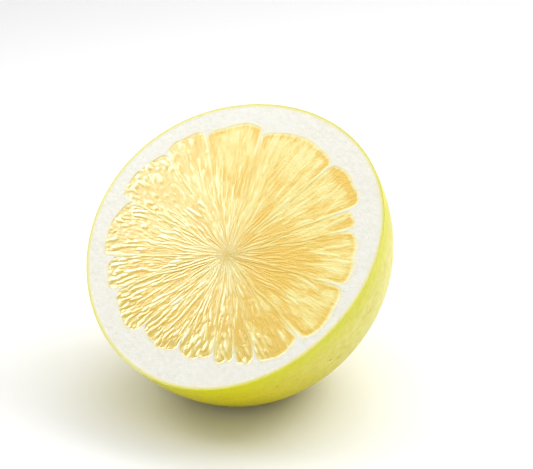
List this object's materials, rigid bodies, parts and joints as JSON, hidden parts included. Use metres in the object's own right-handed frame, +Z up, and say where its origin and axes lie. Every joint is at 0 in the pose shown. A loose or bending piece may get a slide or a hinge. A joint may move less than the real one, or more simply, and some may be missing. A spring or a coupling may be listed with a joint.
{
  "type": "pomelo half",
  "caption": "Half of a thick-skinned citrus fruit, cut across and leaning back on its rind, with juicy segments fanning round a core.",
  "frame": {"origin": "middle of the half's bounds, level with the flat spot of rind it rests on", "axes": "+Z up; +X level, along the cut face; the cut face looks towards -Y and up, leaning 43.7 degrees from level"},
  "size_m": [0.152, 0.1408, 0.1354],
  "materials": {
    "skin": "satin",
    "pith": "matte",
    "pulp": "gloss"
  },
  "bodies": {
    "root": {"skin": "skin", "pith": "pith", "pulp_01": "pulp", "pulp_02": "pulp", "pulp_03": "pulp", "pulp_04": "pulp", "pulp_05": "pulp", "pulp_06": "pulp", "pulp_07": "pulp", "pulp_08": "pulp", "pulp_09": "pulp", "pulp_10": "pulp", "pulp_11": "pulp", "pulp_12": "pulp", "pulp_13": "pulp", "pulp_14": "pulp", "pulp_15": "pulp", "pulp_16": "pulp"}
  },
  "joints": []
}
